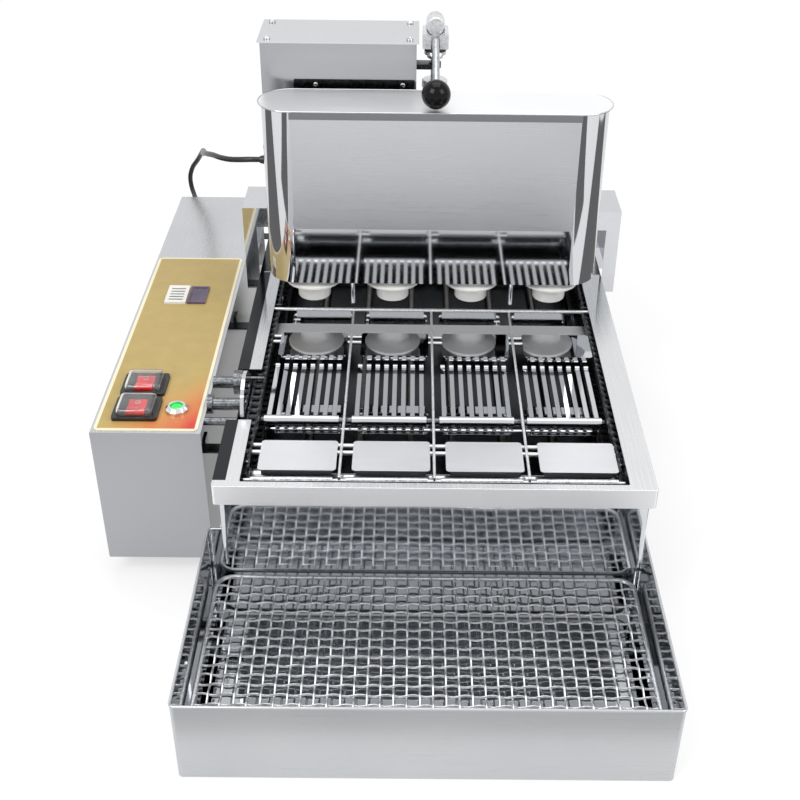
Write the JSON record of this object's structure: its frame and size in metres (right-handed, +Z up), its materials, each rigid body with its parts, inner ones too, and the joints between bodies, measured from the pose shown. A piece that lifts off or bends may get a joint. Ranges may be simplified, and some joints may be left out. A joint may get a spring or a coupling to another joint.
{
  "type": "automatic donut maker",
  "caption": "Counter-top automatic donut fryer with a flight conveyor, flipper combs, dosing hopper, control box and a catch tray with mesh rack.",
  "frame": {"origin": "bottom middle of the whole machine, on the surface it stands on", "axes": "+X to the right as seen from the tray, +Y to the back, +Z up"},
  "size_m": [0.6134, 0.9674, 0.5448],
  "materials": {
    "casing_steel": "fine brushed stainless steel",
    "mirror_steel": "mirror polished stainless steel",
    "tank_steel": "satin stainless steel",
    "chain_steel": "oiled steel",
    "rod_steel": "drawn bright steel",
    "wire_steel": "crimped bright wire",
    "heater_steel": "dark heater sheath",
    "bronze": "sintered bronze",
    "nozzle_plastic": "white food-grade plastic",
    "black_plastic": "glossy black phenolic",
    "black_metal": "black painted steel",
    "foot_rubber": "black rubber",
    "cable_rubber": "black cable jacket",
    "label_gold": "satin gold panel film",
    "meter_white": "white housing",
    "display_tint": "tinted window",
    "rocker_red": "glossy red",
    "cover_clear": "clear soft splash cover",
    "button_green": "lit green lens",
    "motor_grey": "grey painted motor"
  },
  "bodies": {
    "machine": {"body_shell": "casing_steel", "base_plate": "tank_steel", "top_rim": "casing_steel", "oil_tank": "tank_steel", "feet": "foot_rubber", "heater_element": "heater_steel", "chain_rails": "tank_steel", "chain_left": "chain_steel", "chain_right": "chain_steel", "flight_1": "mirror_steel", "flight_2": "mirror_steel", "flight_3": "mirror_steel", "flight_4": "mirror_steel", "flight_5": "mirror_steel", "flight_6": "mirror_steel", "shaft_bearings": "bronze", "exit_roller_shaft": "rod_steel", "lane_dividers": "rod_steel", "cross_rod": "rod_steel", "cross_strip": "mirror_steel", "drive_stub": "rod_steel", "box_brackets": "casing_steel", "hopper_shell": "mirror_steel", "nozzle_1": "nozzle_plastic", "nozzle_2": "nozzle_plastic", "nozzle_3": "nozzle_plastic", "nozzle_4": "nozzle_plastic", "hopper_brackets": "casing_steel", "hopper_stand": "casing_steel", "drive_housing": "mirror_steel", "housing_cover": "mirror_steel", "gear_motor": "motor_grey", "guide_bracket": "black_metal", "control_box": "casing_steel", "label_plate": "label_gold", "counter_unit": "meter_white", "display_window": "display_tint", "switch_bezels": "black_plastic", "switch_covers": "cover_clear", "button_ring": "rod_steel", "cable_glands": "black_plastic", "motor_cable": "cable_rubber"},
    "front_drive": {"front_sprocket_shaft": "chain_steel"},
    "rear_drive": {"rear_sprocket_shaft": "chain_steel"},
    "exit_roller_set": {"exit_rollers": "rod_steel"},
    "flipper": {"flipper_shaft": "rod_steel", "flipper_combs": "rod_steel"},
    "main_drive": {"drive_shaft": "rod_steel", "drive_disc": "rod_steel"},
    "lid": {"hopper_lid": "mirror_steel"},
    "doser": {"piston_frame": "rod_steel", "push_rod": "rod_steel", "rod_clamps": "rod_steel"},
    "hand_lever": {"lever_rod": "rod_steel", "lever_ball": "black_plastic"},
    "rocker_rear": {"rocker_1": "rocker_red"},
    "rocker_front": {"rocker_2": "rocker_red"},
    "start_button": {"push_button": "button_green"},
    "catch_tray": {"tray": "casing_steel"},
    "rack": {"mesh_rack": "wire_steel"}
  },
  "joints": [
    {"name": "front_sprocket_spin", "type": "hinge", "parent": "machine", "child": "front_drive", "pos_m": [0.06475, -0.2085, 0.17047], "axis": [1, 0, 0], "continuous": true},
    {"name": "rear_sprocket_spin", "type": "hinge", "parent": "machine", "child": "rear_drive", "pos_m": [0.06475, 0.4011, 0.17047], "axis": [1, 0, 0], "continuous": true},
    {"name": "exit_roller_spin", "type": "hinge", "parent": "machine", "child": "exit_roller_set", "pos_m": [0.06475, -0.2445, 0.195], "axis": [1, 0, 0], "continuous": true},
    {"name": "flipper_turn", "type": "hinge", "parent": "machine", "child": "flipper", "pos_m": [0.06475, -0.1175, 0.1832], "axis": [1, 0, 0], "range_deg": [0, 110]},
    {"name": "drive_disc_spin", "type": "hinge", "parent": "machine", "child": "main_drive", "pos_m": [-0.16525, -0.1115, 0.2], "axis": [1, 0, 0], "continuous": true},
    {"name": "lid_slide", "type": "slide", "parent": "machine", "child": "lid", "axis": [0, -1, 0], "range_m": [0, 0.06]},
    {"name": "dosing_stroke", "type": "slide", "parent": "machine", "child": "doser", "axis": [0, 0, 1], "range_m": [0, 0.012]},
    {"name": "hand_lever_lift", "type": "hinge", "parent": "doser", "child": "hand_lever", "pos_m": [0.06475, 0.1655, 0.52], "axis": [-1, 0, 0], "range_deg": [0, 30]},
    {"name": "rocker_rear_tip", "type": "hinge", "parent": "machine", "child": "rocker_rear", "pos_m": [-0.26275, -0.0765, 0.201], "axis": [1, 0, 0], "range_deg": [0, 16]},
    {"name": "rocker_front_tip", "type": "hinge", "parent": "machine", "child": "rocker_front", "pos_m": [-0.26275, -0.1255, 0.201], "axis": [1, 0, 0], "range_deg": [0, 16]},
    {"name": "button_press", "type": "slide", "parent": "machine", "child": "start_button", "axis": [0, 0, -1], "range_m": [0, 0.003], "stiffness_N_per_m": 600},
    {"name": "tray_pull", "type": "slide", "parent": "machine", "child": "catch_tray", "axis": [0, -1, 0], "range_m": [0, 0.25]},
    {"name": "rack_lift", "type": "slide", "parent": "catch_tray", "child": "rack", "axis": [0, 0, 1], "range_m": [0, 0.055]}
  ],
  "couplings": [
    {"joint": "rear_sprocket_spin", "follows": "front_sprocket_spin", "ratio": 1}
  ]
}
